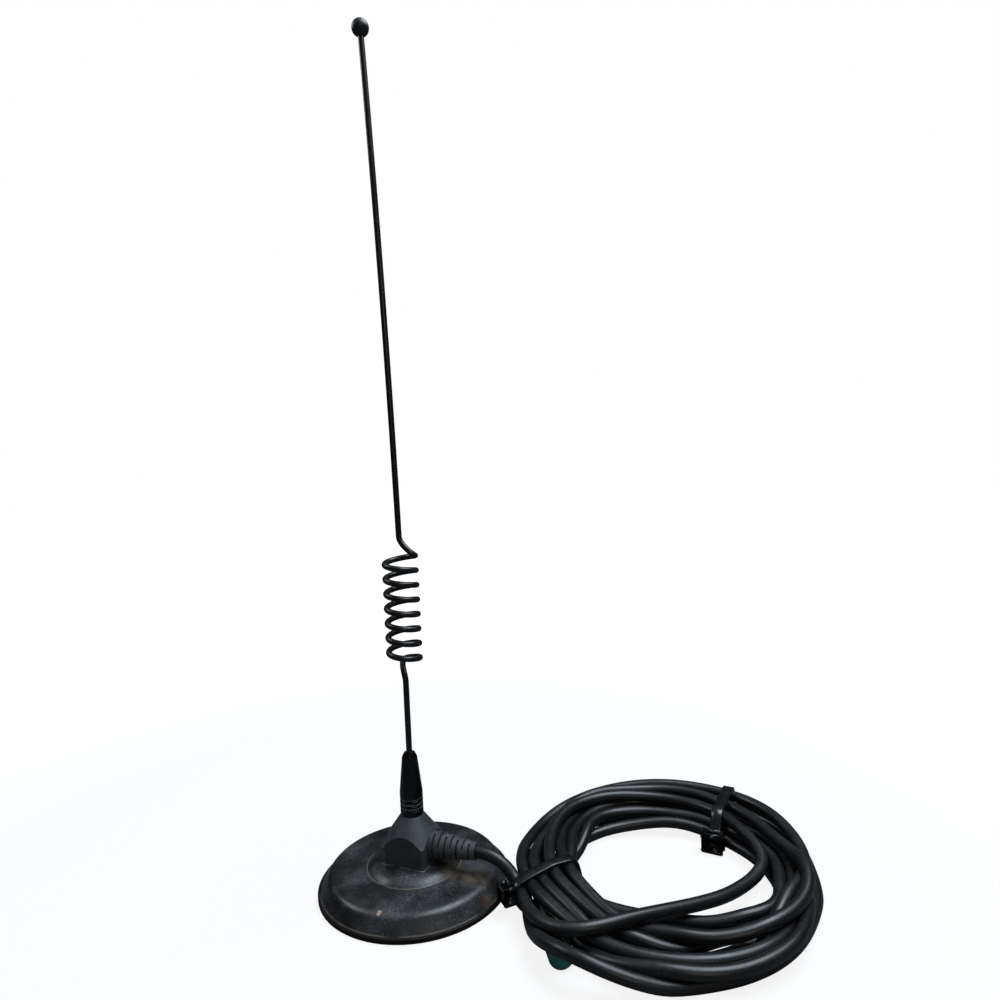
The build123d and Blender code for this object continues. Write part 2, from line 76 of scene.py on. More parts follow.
class Graph:
    """Adds nodes to a shader or geometry tree, feeds their sockets and links them."""

    def __init__(self, tree: Tree) -> None:
        """Args: tree: the tree that the nodes go into."""
        self.tree = tree

    def feed(self, socket: Socket, value: object) -> None:
        """Links a socket to another, or sets its plain value."""
        if isinstance(value, Socket):
            self.tree.links.new(value, socket)
        else:
            socket.default_value = value

    def add(self, kind: str, inputs: dict | None = None, **settings: object) -> bpy.types.Node:
        """Adds one node.

        Args:
            kind: the node's class name.
            inputs: values or sockets by input name or index.
            settings: properties of the node.

        Returns:
            The new node.
        """
        node = self.tree.nodes.new(kind)
        for key, value in settings.items():
            setattr(node, key, value)
        for key, value in (inputs or {}).items():
            self.feed(node.inputs[key], value)
        return node

    def math(self, operation: str, a: object, b: object = 0.0, clamp: bool = False) -> Socket:
        """Result of one Math node."""
        node = self.add("ShaderNodeMath", {0: a, 1: b}, operation=operation, use_clamp=clamp)
        return node.outputs[0]

    def band(self, value: object, low: float, high: float) -> Socket:
        """Smooth step from 0 at low to 1 at high."""
        node = self.add(
            "ShaderNodeMapRange",
            {"Value": value, "From Min": low, "From Max": high},
            interpolation_type="SMOOTHSTEP",
        )
        return node.outputs["Result"]

    def mix(self, factor: object, a: object, b: object) -> Socket:
        """Colour that goes from a to b with factor."""
        node = self.add("ShaderNodeMix", data_type="RGBA")
        self.feed(node.inputs[0], factor)
        self.feed(node.inputs[6], a)
        self.feed(node.inputs[7], b)
        return node.outputs[2]

    def blend(self, share: Socket, a: Socket, b: Socket) -> Socket:
        """Shader that goes from a to b with share."""
        return self.add("ShaderNodeMixShader", {0: share, 1: a, 2: b}).outputs[0]

    def noise(self, vector: object, scale: object, detail: float = 3.0) -> Socket:
        """Value of one Noise Texture node."""
        node = self.add("ShaderNodeTexNoise", {"Vector": vector, "Scale": scale, "Detail": detail})
        return node.outputs["Fac"]

    def times(self, a: object, b: object) -> Socket:
        """Product of two values."""
        return self.math("MULTIPLY", a, b)

    def axis(self, vector: object, name: str) -> Socket:
        """One of a vector's three numbers: X, Y or Z."""
        return self.add("ShaderNodeSeparateXYZ", {0: vector}).outputs[name]

    def vector(self, operation: str, a: object, b: object = (0.0, 0.0, 0.0)) -> bpy.types.NodeOutputs:
        """Outputs of one Vector Math node."""
        return self.add("ShaderNodeVectorMath", {0: a, 1: b}, operation=operation).outputs

    def line(self, value: Socket, at: float, width: float, core: float) -> Socket:
        """Mask of a narrow line.

        Args:
            value: what is measured, in metres.
            at: its value in the line's middle, in millimetres.
            width: half the line's width in millimetres.
            core: share of the width where the mask is full.

        Returns:
            The mask's socket.
        """
        off = self.math("ABSOLUTE", self.math("SUBTRACT", value, at * MM))
        return self.band(off, width * MM, core * width * MM)

    def group(self, tree: Tree, inputs: dict) -> bpy.types.Node:
        """Places a node group with its own values."""
        return self.add("ShaderNodeGroup", inputs, node_tree=tree)


def new_group(name: str, inputs: dict, outputs: dict) -> tuple[Graph, dict, dict]:
    """Starts a shader group with named sockets.

    Args:
        name: the group's name.
        inputs: default value by input name; a tuple stands for a vector.
        outputs: socket type by output name.

    Returns:
        The group's graph, its input sockets by name and its output sockets by name.
    """
    tree = bpy.data.node_groups.new(name, "ShaderNodeTree")
    for key, value in inputs.items():
        vector = isinstance(value, tuple)
        kind = "NodeSocketVector" if vector else "NodeSocketFloat"
        socket = tree.interface.new_socket(name=key, in_out="INPUT", socket_type=kind)
        if not vector:
            socket.default_value = value
    for key, kind in outputs.items():
        tree.interface.new_socket(name=key, in_out="OUTPUT", socket_type=kind)
    graph = Graph(tree)
    start = graph.add("NodeGroupInput")
    end = graph.add("NodeGroupOutput")
    return graph, {s.name: s for s in start.outputs if s.name}, {s.name: s for s in end.inputs if s.name}


class SharedEffects:
    """Shader groups that several finishes use."""

    def __init__(self) -> None:
        """Builds the three groups once."""
        self.dust = self.make_dust()
        self.specks = self.make_specks()
        self.grain = self.make_grain()

    def make_dust(self) -> Tree:
        """Dust that settles in patches on what faces up."""
        graph, given, out = new_group(
            "settled_dust", {"Vector": (0, 0, 0), "Scale": 60.0, "Amount": 0.3}, {"Mask": "NodeSocketFloat"}
        )
        normal = graph.add("ShaderNodeNewGeometry").outputs["Normal"]
        lying = graph.band(graph.axis(normal, "Z"), 0.15, 0.95)
        patches = graph.band(graph.noise(given["Vector"], given["Scale"], 6.0), 0.38, 0.78)
        fine = graph.times(given["Scale"], 14.0)
        powder = graph.band(graph.noise(given["Vector"], fine, 2.0), 0.35, 0.7)
        both = graph.times(patches, graph.math("ADD", powder, 0.35))
        mask = graph.math("MULTIPLY", graph.times(both, lying), given["Amount"], clamp=True)
        graph.feed(out["Mask"], mask)
        return graph.tree

    def make_specks(self) -> Tree:
        """Small separate crumbs, a few cells of a cell pattern."""
        graph, given, out = new_group(
            "specks",
            {"Vector": (0, 0, 0), "Scale": 500.0, "Size": 0.2, "Share": 0.1},
            {"Mask": "NodeSocketFloat"},
        )
        cells = graph.add("ShaderNodeTexVoronoi", {"Vector": given["Vector"], "Scale": given["Scale"]})
        near = graph.math("LESS_THAN", cells.outputs["Distance"], given["Size"])
        pick = graph.axis(cells.outputs["Color"], "X")
        crowd = graph.band(graph.noise(given["Vector"], graph.times(given["Scale"], 0.06)), 0.4, 0.7)
        chosen = graph.math("LESS_THAN", pick, graph.times(given["Share"], crowd))
        graph.feed(out["Mask"], graph.times(near, chosen))
        return graph.tree

    def make_grain(self) -> Tree:
        """Fine surface grain: a height and an uneven gloss."""
        graph, given, out = new_group(
            "fine_grain",
            {"Vector": (0, 0, 0), "Scale": 900.0, "Roughness": 0.4, "Spread": 0.1},
            {"Height": "NodeSocketFloat", "Roughness": "NodeSocketFloat"},
        )
        graph.feed(out["Height"], graph.noise(given["Vector"], given["Scale"], 4.0))
        broad = graph.times(given["Scale"], 0.09)
        smear = graph.math("SUBTRACT", graph.noise(given["Vector"], broad, 5.0), 0.5)
        swing = graph.times(smear, graph.times(given["Spread"], 2.0))
        graph.feed(out["Roughness"], graph.math("ADD", given["Roughness"], swing, clamp=True))
        return graph.tree


@dataclass(frozen=True)
class Finish:
    """A surface: its base colour, gloss, grain, dust and specks."""

    name: str
    colour: Triple
    roughness: float
    spread: float = 0.1
    specular: float = 0.5
    metallic: float = 0.0
    coat: float = 0.0
    coat_roughness: float = 0.15
    darkest: float = 0.7  # share of the colour in its darker patches
    grain_scale: float = 900.0
    grain_depth: float = 0.02
    bump: float = 0.35
    dust: float = 0.0
    dust_scale: float = 60.0
    dust_colour: Triple = (0.11, 0.1, 0.085)
    dust_dulls: float = 0.5  # roughness that full dust adds
    speck_scale: float = 450.0
    speck_size: float = 0.22
    speck_share: float = 0.0
    speck_colour: Triple = (0.3, 0.27, 0.23)

    def marks(self, graph: Graph, place: Socket, colour: object) -> object:
        """Colour with the marks of this finish alone; a plain finish has none."""
        return colour

    def material(self, effects: SharedEffects) -> bpy.types.Material:
        """Builds the material.

        Args:
            effects: the shader groups that finishes share.

        Returns:
            A material that reads object coordinates only.
        """
        made = bpy.data.materials.new(self.name)
        made.use_nodes = True
        graph = Graph(made.node_tree)
        surface = made.node_tree.nodes["Principled BSDF"]
        place = graph.add("ShaderNodeTexCoord").outputs["Object"]
        tone = graph.band(graph.noise(place, self.dust_scale, 4.0), 0.3, 0.7)
        darker = tuple(self.darkest * c for c in self.colour)
        colour = graph.mix(tone, (*darker, 1.0), (*self.colour, 1.0))
        colour = self.marks(graph, place, colour)
        dust = graph.group(effects.dust, {"Vector": place, "Scale": self.dust_scale, "Amount": self.dust})
        colour = graph.mix(dust.outputs["Mask"], colour, (*self.dust_colour, 1.0))
        crumbs = {"Scale": self.speck_scale, "Size": self.speck_size, "Share": self.speck_share}
        specks = graph.group(effects.specks, {"Vector": place, **crumbs})
        colour = graph.mix(specks.outputs["Mask"], colour, (*self.speck_colour, 1.0))
        gloss = {"Scale": self.grain_scale, "Roughness": self.roughness, "Spread": self.spread}
        grain = graph.group(effects.grain, {"Vector": place, **gloss})
        duller = graph.times(dust.outputs["Mask"], self.dust_dulls)
        rough = graph.math("ADD", grain.outputs["Roughness"], duller, clamp=True)
        raised = graph.math("ADD", grain.outputs["Height"], specks.outputs["Mask"])
        relief = {"Height": raised, "Strength": self.bump, "Distance": self.grain_depth * MM}
        bump = graph.add("ShaderNodeBump", relief)
        graph.feed(surface.inputs["Base Color"], colour)
        graph.feed(surface.inputs["Roughness"], rough)
        graph.feed(surface.inputs["Normal"], bump.outputs["Normal"])
        for socket, value in (
            ("Metallic", self.metallic),
            ("Specular IOR Level", self.specular),
            ("Coat Weight", self.coat),
            ("Coat Roughness", self.coat_roughness),
        ):
            surface.inputs[socket].default_value = value
        return made


@dataclass(frozen=True)
class PaintedShell(Finish):
    """Black paint of the base: dust round the raised centre, stains, rust and chips."""

    ring_r: float = 19.7
    ring_w: float = 0.45
    rim_r: float = 39.0
    rim_w: float = 0.35
    ring_colour: Triple = (0.2, 0.17, 0.13)
    stains: tuple[tuple[float, float, float, float], ...] = (
        (18.5, -3.5, 9.0, 5.0),
        (22.5, -1.5, 8.7, 8.0),
        (29.0, -3.5, 8.5, 7.5),
        (39.0, -9.0, 5.0, 5.0),
    )
    stain_colour: Triple = (0.17, 0.135, 0.09)
    foot: float = 9.5
    foot_w: float = 0.55
    rust: tuple[float, float, float, float] = (38.0, -10.5, 5.5, 4.5)
    rust_colour: Triple = (0.12, 0.045, 0.025)
    chips: tuple[tuple[float, float, float, float], ...] = (
        (3.3, -33.8, 7.3, 1.45),
        (2.6, -37.6, 5.0, 0.45),
        (-20.0, -25.5, 8.0, 0.4),
    )
    chip_colour: Triple = (0.7, 0.45, 0.3)

    def spot(self, graph: Graph, place: Socket, at: tuple, soft: float) -> Socket:
        """Mask that is 1 at a place and falls to 0 at its radius.

        Args:
            graph: the material's graph.
            place: the coordinates.
            at: x, y, z and radius in millimetres.
            soft: share of the radius over which the edge fades.

        Returns:
            The mask's socket.
        """
        centre = tuple(c * MM for c in at[:3])
        reach = graph.vector("DISTANCE", place, centre)["Value"]
        wobble = graph.times(graph.noise(place, 1.2 / (at[3] * MM), 3.0), 0.7 * at[3] * MM)
        uneven = graph.math("ADD", reach, wobble)
        return graph.band(uneven, 1.35 * at[3] * MM, (1.35 - soft) * at[3] * MM)

    def marks(self, graph: Graph, place: Socket, colour: object) -> object:
        """Paint with its dust rings, stains, rust and chips."""
        radius = graph.vector("LENGTH", graph.vector("MULTIPLY", place, (1.0, 1.0, 0.0))["Vector"])["Value"]
        square = graph.math("MAXIMUM", *(graph.math("ABSOLUTE", graph.axis(place, name)) for name in "XY"))
        broken = graph.band(graph.noise(place, 90.0, 5.0), 0.35, 0.6)
        for measure, at, width, share in (
            (radius, self.ring_r, self.ring_w, 0.75),
            (radius, self.rim_r, self.rim_w, 0.75),
            (square, self.foot, self.foot_w, 0.8),
        ):
            line = graph.times(graph.line(measure, at, width, 0.2), broken)
            colour = graph.mix(graph.times(line, share), colour, (*self.ring_colour, 1.0))
        patch = graph.band(graph.noise(place, 240.0, 6.0), 0.3, 0.55)
        stains = [(stain, 0.85, self.stain_colour) for stain in self.stains]
        for spot, share, tint in (*stains, (self.rust, 0.8, self.rust_colour)):
            mask = graph.times(self.spot(graph, place, spot, 1.0), patch)
            colour = graph.mix(graph.times(mask, share), colour, (*tint, 1.0))
        for chip in self.chips:
            colour = graph.mix(self.spot(graph, place, chip, 0.15), colour, (*self.chip_colour, 1.0))
        return colour


@dataclass(frozen=True)
class CapWithPaintedShade(Finish):
    """Green plastic of the jack's cap, with painted shade: near black at its open end, which lies under the
    turns.
    """

    start: tuple[float, float] = (61.0, -10.0)
    along: tuple[float, float] = (0.5195, -0.8545)
    unshaded: tuple[float, float] = (23.0, 24.6)
    # painted shade: the near-black colour of the cap's open end
    painted_shade: Triple = (0.006, 0.008, 0.008)

    def marks(self, graph: Graph, place: Socket, colour: object) -> object:
        """Painted shade that thins out towards the closed end."""
        start = tuple(c * MM for c in (*self.start, 0.0))
        off = graph.vector("SUBTRACT", place, start)["Vector"]
        way = graph.vector("DOT_PRODUCT", off, (*self.along, 0.0))["Value"]
        unshaded = graph.band(way, *(c * MM for c in self.unshaded))
        return graph.mix(unshaded, (*self.painted_shade, 1.0), colour)


@dataclass(frozen=True)
class TurnedGrip(Finish):
    """Gloss of the collar, with painted highlight lines at its grooves."""

    grooves: tuple[float, ...] = (33.1, 35.0, 36.9)
    groove_w: float = 0.3
    # painted highlight: the light grey of the glints along the grooves' edges
    painted_glint: Triple = (0.16, 0.16, 0.16)

    def marks(self, graph: Graph, place: Socket, colour: object) -> object:
        """Painted highlight: thin light lines round the collar at its grooves."""
        level = graph.axis(place, "Z")
        broken = graph.band(graph.noise(place, 260.0, 3.0), 0.25, 0.5)
        for groove in self.grooves:
            line = graph.line(level, groove, self.groove_w, 0.3)
            colour = graph.mix(graph.times(line, broken), colour, (*self.painted_glint, 1.0))
        return colour


class Finishes:
    """Every finish of the antenna, made into materials once."""

    paint = PaintedShell(
        "base_paint", (0.015, 0.0155, 0.0175), 0.26, spread=0.12, dust=0.85, dust_scale=85.0,
        dust_colour=(0.062, 0.063, 0.067), speck_share=0.6, speck_scale=1050.0, speck_size=0.15,
        speck_colour=(0.22, 0.2, 0.17), grain_scale=700.0, grain_depth=0.035,
    )
    rubber = Finish("boot_rubber", (0.004, 0.004, 0.004), 0.6, grain_scale=1200.0, specular=0.25)
    # housing: its dust is bluish grey on the upward faces; this is partly real dust and partly a painted
    # bluish sheen on the cone
    moulded = Finish(
        "housing_plastic", (0.042, 0.046, 0.053), 0.46, dust=0.6, dust_scale=120.0,
        dust_colour=(0.1, 0.107, 0.12), grain_scale=1500.0, grain_depth=0.03, speck_share=0.3,
        speck_scale=1400.0, speck_size=0.14, speck_colour=(0.2, 0.2, 0.2),
    )
    relief = Finish(
        "relief_rubber", (0.07, 0.071, 0.074), 0.32, dust=0.6, dust_scale=150.0,
        dust_colour=(0.14, 0.14, 0.14), grain_scale=1500.0, grain_depth=0.02, speck_share=0.3,
        speck_scale=1400.0, speck_size=0.16,
    )
    jacket = Finish(
        "cable_jacket", (0.0085, 0.009, 0.0102), 0.34, spread=0.12, dust=0.22, dust_scale=45.0,
        dust_colour=(0.07, 0.068, 0.062), grain_scale=1400.0, grain_depth=0.015, speck_share=0.3,
        speck_scale=1000.0, speck_size=0.12, speck_colour=(0.2, 0.18, 0.15),
    )
    gloss = TurnedGrip(
        "collar_gloss", (0.0015, 0.0015, 0.0016), 0.13, spread=0.04, grain_scale=500.0, grain_depth=0.005,
        dust=0.02, specular=0.4,
    )
    wire = Finish(
        "whip_coating", (0.006, 0.006, 0.0065), 0.3, spread=0.12, grain_scale=800.0, grain_depth=0.02,
        dust=0.2, dust_scale=160.0, speck_share=0.15, speck_scale=1300.0, speck_size=0.15,
    )
    bead = Finish(
        "ball_coating", (0.01, 0.01, 0.0105), 0.38, spread=0.14, grain_scale=700.0, grain_depth=0.03,
        dust=0.35, dust_scale=260.0,
    )
    nylon = Finish(
        "tie_nylon", (0.007, 0.007, 0.0085), 0.2, spread=0.08, grain_scale=900.0, grain_depth=0.01,
        dust=0.12, dust_scale=140.0, speck_share=0.1, speck_scale=1300.0, speck_size=0.14,
    )
    cap = CapWithPaintedShade(
        "cap_plastic", (0.0, 0.15, 0.115), 0.16, spread=0.05, grain_scale=700.0, grain_depth=0.01,
        dust=0.08, dust_scale=200.0, coat=0.5,
    )
    ferrite = Finish("magnet_ferrite", (0.035, 0.035, 0.037), 0.6, grain_scale=1600.0, grain_depth=0.05)
    zinc = Finish("zinc_plate", (0.55, 0.54, 0.5), 0.36, metallic=1.0, spread=0.15, grain_scale=600.0)
    nickel = Finish("nickel_plate", (0.62, 0.6, 0.56), 0.24, metallic=1.0, spread=0.1, grain_scale=800.0)
    brass = Finish("brass", (0.68, 0.5, 0.25), 0.3, metallic=1.0, spread=0.12, grain_scale=800.0)
    tinned = Finish("tinned_brass", (0.6, 0.58, 0.54), 0.32, metallic=1.0, spread=0.12)
    copper = Finish("bare_copper", (0.72, 0.35, 0.2), 0.34, metallic=1.0, spread=0.12)
    white = Finish("insulator_white", (0.62, 0.61, 0.57), 0.42, spread=0.08, dust_scale=200.0)
    fibre = Finish("fibre_washer", (0.2, 0.07, 0.03), 0.7, spread=0.1, grain_scale=1800.0, grain_depth=0.05)
    gasket = Finish("seal_rubber", (0.013, 0.013, 0.013), 0.66, grain_scale=1500.0)

    by_node = {
        node: finish
        for finish, nodes in (
            (rubber, "base_boot"),
            (paint, "base_shell"),
            (ferrite, "ring_magnet"),
            (zinc, "pole_plate"),
            (fibre, "insulating_washer"),
            (nickel, "mounting_stud stud_nut crimp_sleeve jack_body"),
            (tinned, "earth_tag feed_tag"),
            (white, "stud_bush jack_insulator"),
            (moulded, "housing"),
            (relief, "strain_relief"),
            (jacket, "cable_tail cable_lead cable_coil cable_end"),
            (copper, "feed_wire braid_tail"),
            (gasket, "collar_seal"),
            (gloss, "collar"),
            (brass, "collar_insert socket_contact"),
            (wire, "whip"),
            (bead, "tip_ball"),
            (cap, "jack_cap"),
            (nylon, "near_tie far_tie"),
        )
        for node in nodes.split()
    }

    def __init__(self) -> None:
        """Builds the shared effects; materials follow as they are asked for."""
        self.effects = SharedEffects()
        self.made: dict[str, bpy.types.Material] = {}

    def get(self, finish: Finish) -> bpy.types.Material:
        """The finish's material, built on its first use."""
        if finish.name not in self.made:
            self.made[finish.name] = finish.material(self.effects)
        return self.made[finish.name]

    def dress_frame(self) -> None:
        """Gives every node of the frame its material."""
        for name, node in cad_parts.items():
            material = self.get(self.by_node[name])
            if not node.material_slots:
                node.data.materials.append(material)
            for slot in node.material_slots:
                slot.material = material
            log.info("%s: %s", name, material.name)


def finish_mesh(mesh: bmesh.types.BMesh, name: str, material: bpy.types.Material) -> Piece:
    """Turns a bmesh into a smooth-shaded object with outward faces.

    Args:
        mesh: the bmesh, in metres; it is freed.
        name: the piece's name.
        material: the finish on all of its faces.

    Returns:
        The object, linked into the scene.
    """
    bmesh.ops.remove_doubles(mesh, verts=mesh.verts, dist=1e-6)
    bmesh.ops.recalc_face_normals(mesh, faces=mesh.faces)
    for face in mesh.faces:
        face.smooth = True
    data = bpy.data.meshes.new(name)
    mesh.to_mesh(data)
    mesh.free()
    data.materials.append(material)
    piece = bpy.data.objects.new(name, data)
    bpy.context.scene.collection.objects.link(piece)
    return piece


def place_piece(piece: Piece, body: Body, slot: str, *nodes: str) -> None:
    """Attaches a finished piece to the body it rides on and hides the frame nodes it stands for."""
    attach(piece, body.value)
    if nodes:
        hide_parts(*nodes)
    log.info("%s rides on %s", piece.name, body.value)


class Strand(Enum):
    """Whether a stretch of cable shows in the photograph or lies under others."""

    SEEN = "s"
    UNDER = "u"


@dataclass(frozen=True)
class Turn:
    """One turn of the bundle, from the far tie round to the far tie again.

    Distances from the middle of the ring and heights are in millimetres, one at each of the
    bundle's stations; the letters say where the stretch shows (s) or lies under others (u).
    """

    radii: tuple[float, ...]
    heights: tuple[float, ...]
    shows: str


@dataclass(frozen=True)
class Window:
    """What a tie leaves open for the turns: a flat upright frame across them."""

    outer: tuple[float, float]
    inner: tuple[float, float]
    top: float
    reach: float = 5.0
    beyond: float = 3.0  # past the frame's sides, where turns still belong to it

    def axes(self) -> tuple[np.ndarray, np.ndarray, np.ndarray, float]:
        """Middle, outward direction, direction of the cable and half width of the frame."""
        outer, inner = np.array(self.outer), np.array(self.inner)
        out = unit(outer - inner)
        across, half = np.array((out[1], -out[0])), float(np.linalg.norm(outer - inner)) / 2
        return (outer + inner) / 2, out, across, half


@dataclass
class CableBundle:
    """The cable: its lead off the strain relief, then loosely wound turns, then the jack.

    Turns start from distances and heights given at a few stations round the ring. They
    are then pushed apart until no two touch, while what the photograph shows is held to its
    line of sight and gives way along it. Each entry is an angle in degrees, a distance from the
    middle and a height; each jack step is how far along the jack it ends and its radius.
    """

    middle: tuple[float, float] = (99.5, 32.5)
    stations: tuple[int, ...] = (
        68, 92, 117, 142, 166, 190, 214, 240, 251, 262, 284, 304, 326, 348, 370, 394
    )
    step: float = 7.5
    gap: float = 0.06  # left between turns
    rounds: int = 520
    same: int = 8  # neighbours along the cable that count as one stretch
    push: float = 0.3  # share of an overlap that a round takes away
    stride: float = 1.2  # furthest move of a point in a round
    seen_pull: tuple[float, float] = (0.12, 0.03)  # across and along the line of sight
    hidden_pull: float = 0.02
    least_ease: float = 0.3  # share of the pulls that is left in the last rounds
    stiffness: float = 0.03
    ground_gap: float = 0.02  # left under the lowest turn
    jack_start: tuple[float, float] = (61.0, -10.0)
    jack_angle: float = -58.7
    jack_z: float = 4.65
    stub: float = 4.0
    jack_steps: tuple[tuple[float, float], ...] = ((10.0, 3.3), (16.0, 4.0), (37.0, 4.65))
    jack_room: float = 0.6
    jack_push: float = 0.6  # share of what is missing that a round makes up
    jack_rise: float = 0.5  # least upward part of that push
    lead: tuple[Triple, ...] = (
        (28.9, 0.0, 17.9),
        (34.9, 0.1, 17.6),
        (40.8, 0.2, 14.6),
        (45.2, -0.4, 10.4),
        (48.4, -3.4, 7.8),
        (51.6, -8.6, 7.9),
        (56.4, -16.0, 9.3),
        (62.5, -22.8, 10.7),
        (68.8, -26.6, 11.8),
        (75.2, -27.4, 12.6),
        (81.8, -25.0, 12.9),
        (88.9, -19.6, 12.9),
        (97.2, -11.4, 12.0),
        (106.9, -2.2, 10.5),
        (116.1, 6.9, 9.0),
        (124.2, 15.8, 8.0),
        (130.4, 25.4, 7.5),
        (134.6, 33.8, 7.5),
        (136.9, 41.4, 8.0),
    )
    entry: tuple[Triple, ...] = (
        (23.0, 39.9, 9.0),
        (33.0, 40.1, 10.0),
        (44.0, 40.0, 11.0),
        (60.0, 43.3, 11.0),
    )
    turns: tuple[Turn, ...] = (
        Turn(
            (45.0, 49.2, 50.9, 54.0, 51.2, 47.6, 48.0, 47.4, 48.2, 49.4, 47.0, 40.6, 42.4, 45.8, 43.8, 41.2),
            (10.8, 10.6, 11.5, 12.0, 11.0, 10.6, 12.0, 10.4, 8.4, 6.8, 4.0, 2.5, 2.5, 2.5, 2.5, 2.5),
            "ssssssssssssssss",
        ),
        Turn(
            (40.0, 37.3, 37.1, 41.0, 42.2, 46.0, 51.6, 56.4, 60.4, 63.6, 64.2, 62.8, 58.3, 53.6, 50.4, 54.0),
            (3.6, 5.8, 4.6, 3.0, 2.5, 2.5, 3.6, 2.5, 4.5, 6.5, 7.2, 7.2, 7.2, 7.1, 4.6, 2.5),
            "ussssuuussssssuu",
        ),
        Turn(
            (61.0, 58.0, 58.5, 59.0, 59.0, 60.0, 61.2, 68.6, 76.2, 73.4, 61.6, 59.6, 57.8, 55.8, 56.4, 61.3),
            (3.6, 2.5, 2.5, 2.5, 2.5, 2.5, 3.6, 9.1, 13.2, 10.3, 2.5, 2.5, 2.5, 2.5, 2.5, 5.5),
            "uuuuuuusssssssss",
        ),
        Turn(
            (64.0, 60.0, 59.5, 56.0, 48.8, 43.0, 41.4, 41.4, 43.4, 45.6, 46.0, 47.7, 52.4, 54.6, 51.4, 48.5),
            (6.5, 7.0, 7.0, 7.0, 7.4, 9.4, 11.6, 9.8, 8.6, 8.0, 7.2, 7.5, 10.0, 12.0, 12.0, 12.0),
            "uuusssssssssssss",
        ),
        Turn(
            (55.0, 57.5, 58.5, 57.5, 55.2, 54.3, 54.4, 51.4, 53.0, 55.0, 57.6, 55.8, 54.2, 50.4, 54.0, 59.0),
            (11.0, 11.8, 10.0, 8.0, 6.6, 7.6, 10.4, 9.4, 6.0, 3.5, 2.5, 2.5, 2.5, 9.5, 9.5, 10.0),
            "sssussssuuuuuuus",
        ),
        Turn(
            (66.0, 62.3, 64.1, 66.5, 62.8, 59.5, 58.4, 57.4, 57.6, 57.7, 57.7, 56.9, 55.4, 51.6, 50.0, 51.0),
            (10.5, 12.1, 10.0, 6.0, 4.0, 5.0, 8.4, 9.0, 8.0, 7.2, 7.0, 6.8, 6.8, 6.6, 6.8, 6.8),
            "sssssssssssssuuu",
        ),
        Turn(
            (51.0, 53.5, 53.3, 49.9, 43.8, 39.0, 41.6, 34.0, 31.4, 30.0, 31.4, 35.0, 42.0, 46.5, 45.8, 43.0),
            (4.0, 6.8, 7.8, 7.5, 6.8, 5.5, 3.6, 3.0, 2.5, 2.5, 4.0, 4.0, 5.2, 7.0, 7.0, 7.0),
            "uusssuussssssssu",
        ),
        Turn(
            (42.5, 42.4, 44.8, 46.2, 42.0, 43.5, 46.6, 45.0, 46.8, 49.0, 51.0, 51.0, 50.6, 50.8, 48.8, 46.5),
            (7.5, 6.9, 7.0, 7.0, 6.0, 2.5, 3.6, 2.5, 2.5, 2.5, 2.5, 2.5, 2.5, 2.5, 2.5, 2.5),
            "ssssuuuuuuussuuu",
        ),
        Turn(
            (47.5, 49.0, 50.0, 51.0, 51.5, 53.4, 56.0),
            (3.6, 2.5, 2.5, 2.5, 2.5, 2.5, 3.6),
            "uuuuuuu",
        ),
    )
    near: Window = Window((45.4, -8.0), (66.5, 14.4), 14.8)
    far: Window = Window((121.0, 98.5), (116.4, 64.0), 13.4)

    def wound_guide(self) -> tuple[np.ndarray, np.ndarray]:
        """The turns as listed.

        Returns:
            Points in millimetres, one every step degrees, and whether each one shows.
        """
        angles, radii, heights = (list(column) for column in zip(*self.entry))
        shows = [1.0] * len(angles)
        for k, turn in enumerate(self.turns):
            angles += [a + 360 * k for a in self.stations[: len(turn.radii)]]
            radii += turn.radii
            heights += turn.heights
            shows += [float(Strand(letter) is Strand.SEEN) for letter in turn.shows]
        at = np.arange(angles[0], angles[-1] + 0.1, self.step)
        ring = smooth_between(np.array(angles), np.array(radii), at)
        z = smooth_between(np.array(angles), np.array(heights), at)
        seen = np.interp(at, angles, shows) > 0.6
        x = self.middle[0] + ring * np.cos(np.radians(at))
        y = self.middle[1] + ring * np.sin(np.radians(at))
        return np.column_stack((x, y, z)), seen

    def jack_dir(self) -> np.ndarray:
        """Direction in which the jack points."""
        turn = math.radians(self.jack_angle)
        return np.array((math.cos(turn), math.sin(turn), 0.0))

    def end_points(self) -> np.ndarray:
        """Last points of the cable, in line with the jack."""
        start = np.array((*self.jack_start, self.jack_z))
        return np.array([start + self.jack_dir() * t for t in (-self.stub - 5.5, -self.stub, 2.0)])

    def part_turns(self, points: np.ndarray, loose: np.ndarray) -> None:
        """Pushes stretches that overlap half way apart each, in place.

        Args:
            points: the cable's points.
            loose: 1 for points that may move, 0 for points that stay.
        """
        start, along = points[:-1], np.diff(points, axis=0)
        size = (along**2).sum(1)
        share = ((points[:, None] - start[None]) * along[None]).sum(2) / size[None]
        share = np.clip(share, 0.0, 1.0)
        apart = points[:, None] - (start[None] + share[..., None] * along[None])
        distance = np.linalg.norm(apart, axis=2)
        index = np.arange(len(points))
        beside = np.abs(index[:, None] - index[None, :-1]) > self.same
        press = np.where(beside, np.maximum(2 * CABLE_R + self.gap - distance, 0.0), 0.0)
        push = apart / np.maximum(distance, 1e-6)[..., None] * (self.push * press)[..., None]
        move = push.sum(1)
        move[:-1] -= (push * (1 - share)[..., None]).sum(0)
        move[1:] -= (push * share[..., None]).sum(0)
        size = np.linalg.norm(move, axis=1, keepdims=True)
        points += move * loose[:, None] * np.minimum(1.0, self.stride / np.maximum(size, 1e-9))

